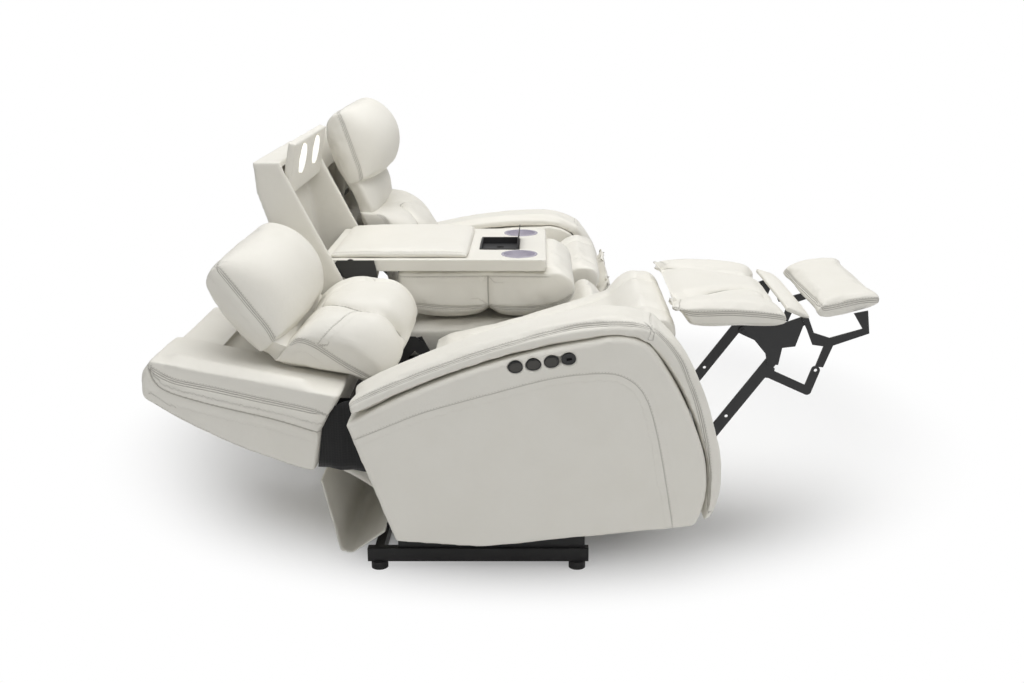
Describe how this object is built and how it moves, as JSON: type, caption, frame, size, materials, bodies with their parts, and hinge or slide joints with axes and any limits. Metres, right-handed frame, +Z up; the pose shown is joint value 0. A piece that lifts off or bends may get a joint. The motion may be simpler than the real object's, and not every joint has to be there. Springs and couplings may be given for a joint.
{
  "type": "reclining sofa",
  "caption": "Power reclining sofa with a folding middle table, cup holders, tilting headrests and coupled fold-out footrests",
  "frame": {"origin": "on the floor, under the middle of the bounding box", "axes": "+Z is up, the sitter faces -Y, +X is the sitter's left side"},
  "size_m": [2.16, 1.8539, 1.1067],
  "materials": {
    "leather": "soft white leather",
    "black_steel": "satin black",
    "black_plastic": "matte",
    "button_plastic": "matte",
    "cup_lining": "satin",
    "light_lens": "frosted",
    "grey_plastic": "satin",
    "rod_steel": "brushed"
  },
  "bodies": {
    "base": {"right_base_frame": "black_steel", "left_base_frame": "black_steel", "right_actuator_body": "black_plastic", "left_actuator_body": "black_plastic", "middle_frame": "black_steel", "middle_seat_cushion": "leather", "middle_front_panel": "leather", "console_box": "leather", "light_panel": "leather", "panel_lights": "light_lens", "floor_glides": "black_plastic"},
    "right_slide": {"right_slide_frame": "black_steel", "right_actuator_rod": "rod_steel"},
    "right_carriage": {"right_seat_frame": "black_steel", "right_seat_cushion": "leather", "right_arm_body": "leather", "right_arm_pad": "leather", "right_button_sockets": "black_plastic", "right_rear_flap": "leather"},
    "right_back": {"right_back_frame": "black_steel", "right_back_shell": "leather", "right_back_cushion": "leather"},
    "right_head": {"right_headrest": "leather"},
    "right_calf": {"right_calf_pad": "leather", "right_calf_brackets": "black_steel"},
    "right_leg": {"right_leg_links": "black_steel"},
    "right_brace": {"right_brace_links": "black_steel"},
    "right_foot": {"right_foot_pad": "leather", "right_foot_arms": "black_steel"},
    "right_recline_key": {"right_button_recline": "button_plastic"},
    "right_headrest_key": {"right_button_headrest": "button_plastic"},
    "right_lumbar_key": {"right_button_lumbar": "button_plastic"},
    "left_slide": {"left_slide_frame": "black_steel", "left_actuator_rod": "rod_steel"},
    "left_carriage": {"left_seat_frame": "black_steel", "left_seat_cushion": "leather", "left_arm_body": "leather", "left_arm_pad": "leather", "left_button_sockets": "black_plastic", "left_rear_flap": "leather"},
    "left_back": {"left_back_frame": "black_steel", "left_back_shell": "leather", "left_back_cushion": "leather"},
    "left_head": {"left_headrest": "leather"},
    "left_calf": {"left_calf_pad": "leather", "left_calf_brackets": "black_steel"},
    "left_leg": {"left_leg_links": "black_steel"},
    "left_brace": {"left_brace_links": "black_steel"},
    "left_foot": {"left_foot_pad": "leather", "left_foot_arms": "black_steel"},
    "left_recline_key": {"left_button_recline": "button_plastic"},
    "left_headrest_key": {"left_button_headrest": "button_plastic"},
    "left_lumbar_key": {"left_button_lumbar": "button_plastic"},
    "table": {"table_body": "leather", "table_cushion": "leather", "table_hinges": "black_steel", "hub_tray": "black_plastic", "cup_holders": "cup_lining"},
    "storage": {"storage_lid": "leather"},
    "hub_cover": {"hub_lid": "grey_plastic"}
  },
  "joints": [
    {"name": "right_drive", "type": "slide", "parent": "base", "child": "right_slide", "axis": [0, -0.9689, 0.2474], "range_m": [-0.19403, 0]},
    {"name": "right_tilt", "type": "hinge", "parent": "right_slide", "child": "right_carriage", "pos_m": [-0.58, 0.11141, 0.248], "axis": [-1, 0, 0], "range_deg": [-9, 0]},
    {"name": "right_recline", "type": "hinge", "parent": "right_carriage", "child": "right_back", "pos_m": [-0.58, 0.31529, 0.44857], "axis": [-1, 0, 0], "range_deg": [-44, 0]},
    {"name": "right_calf", "type": "hinge", "parent": "right_carriage", "child": "right_calf", "pos_m": [-0.58, -0.36726, 0.64578], "axis": [-1, 0, 0], "range_deg": [-81, 0]},
    {"name": "right_foot", "type": "hinge", "parent": "right_calf", "child": "right_foot", "pos_m": [-0.58, -0.72526, 0.65528], "axis": [-1, 0, 0], "range_deg": [-100, 0]},
    {"name": "right_leg", "type": "hinge", "parent": "right_calf", "child": "right_leg", "pos_m": [-0.58, -0.65026, 0.55028], "axis": [-1, 0, 0], "range_deg": [0, 50.9]},
    {"name": "right_brace", "type": "hinge", "parent": "right_leg", "child": "right_brace", "pos_m": [-0.58, -0.64426, 0.51128], "axis": [-1, 0, 0], "range_deg": [0, 97.7]},
    {"name": "right_headrest_tilt", "type": "hinge", "parent": "right_back", "child": "right_head", "pos_m": [-0.58, 0.6896, 0.49023], "axis": [-1, 0, 0], "range_deg": [0, 35]},
    {"name": "right_press_recline", "type": "slide", "parent": "right_carriage", "child": "right_recline_key", "axis": [1, 0, 0], "range_m": [0, 0.0016], "stiffness_N_per_m": 900},
    {"name": "right_press_headrest", "type": "slide", "parent": "right_carriage", "child": "right_headrest_key", "axis": [1, 0, 0], "range_m": [0, 0.0016], "stiffness_N_per_m": 900},
    {"name": "right_press_lumbar", "type": "slide", "parent": "right_carriage", "child": "right_lumbar_key", "axis": [1, 0, 0], "range_m": [0, 0.0016], "stiffness_N_per_m": 900},
    {"name": "left_drive", "type": "slide", "parent": "base", "child": "left_slide", "axis": [0, -0.9689, 0.2474], "range_m": [0, 0.19403]},
    {"name": "left_tilt", "type": "hinge", "parent": "left_slide", "child": "left_carriage", "pos_m": [0.58, 0.29941, 0.2], "axis": [-1, 0, 0], "range_deg": [0, 9]},
    {"name": "left_recline", "type": "hinge", "parent": "left_carriage", "child": "left_back", "pos_m": [0.58, 0.46941, 0.43], "axis": [-1, 0, 0], "range_deg": [0, 44]},
    {"name": "left_calf", "type": "hinge", "parent": "left_carriage", "child": "left_calf", "pos_m": [0.58, -0.23559, 0.518], "axis": [-1, 0, 0], "range_deg": [0, 81]},
    {"name": "left_foot", "type": "hinge", "parent": "left_calf", "child": "left_foot", "pos_m": [0.58, -0.24509, 0.16], "axis": [-1, 0, 0], "range_deg": [0, 100]},
    {"name": "left_leg", "type": "hinge", "parent": "left_calf", "child": "left_leg", "pos_m": [0.58, -0.14009, 0.235], "axis": [-1, 0, 0], "range_deg": [-50.9, 0]},
    {"name": "left_brace", "type": "hinge", "parent": "left_leg", "child": "left_brace", "pos_m": [0.58, -0.11084, 0.20852], "axis": [-1, 0, 0], "range_deg": [-97.7, 0]},
    {"name": "left_headrest_tilt", "type": "hinge", "parent": "left_back", "child": "left_head", "pos_m": [0.58, 0.66141, 0.754], "axis": [-1, 0, 0], "range_deg": [-35, 0]},
    {"name": "left_press_recline", "type": "slide", "parent": "left_carriage", "child": "left_recline_key", "axis": [-1, 0, 0], "range_m": [0, 0.0016], "stiffness_N_per_m": 900},
    {"name": "left_press_headrest", "type": "slide", "parent": "left_carriage", "child": "left_headrest_key", "axis": [-1, 0, 0], "range_m": [0, 0.0016], "stiffness_N_per_m": 900},
    {"name": "left_press_lumbar", "type": "slide", "parent": "left_carriage", "child": "left_lumbar_key", "axis": [-1, 0, 0], "range_m": [0, 0.0016], "stiffness_N_per_m": 900},
    {"name": "console_fold", "type": "hinge", "parent": "base", "child": "table", "pos_m": [0, 0.40941, 0.55], "axis": [1, 0, 0], "range_deg": [-100, 0]},
    {"name": "storage_lid_open", "type": "hinge", "parent": "table", "child": "storage", "pos_m": [0, 0.15541, 0.6953], "axis": [1, 0, 0], "range_deg": [0, 70]},
    {"name": "hub_lid_close", "type": "hinge", "parent": "table", "child": "hub_cover", "pos_m": [0, 0.01641, 0.69885], "axis": [-1, 0, 0], "range_deg": [0, 94]}
  ],
  "couplings": [
    {"joint": "right_tilt", "follows": "right_drive", "rad_per_m": 0.80956},
    {"joint": "right_recline", "follows": "right_drive", "rad_per_m": 3.9579},
    {"joint": "right_calf", "follows": "right_drive", "rad_per_m": 7.2861},
    {"joint": "right_foot", "follows": "right_drive", "rad_per_m": 8.9952},
    {"joint": "right_leg", "follows": "right_drive", "rad_per_m": -4.5785},
    {"joint": "right_brace", "follows": "right_drive", "rad_per_m": -8.7883},
    {"joint": "left_tilt", "follows": "left_drive", "rad_per_m": 0.80956},
    {"joint": "left_recline", "follows": "left_drive", "rad_per_m": 3.9579},
    {"joint": "left_calf", "follows": "left_drive", "rad_per_m": 7.2861},
    {"joint": "left_foot", "follows": "left_drive", "rad_per_m": 8.9952},
    {"joint": "left_leg", "follows": "left_drive", "rad_per_m": -4.5785},
    {"joint": "left_brace", "follows": "left_drive", "rad_per_m": -8.7883}
  ]
}
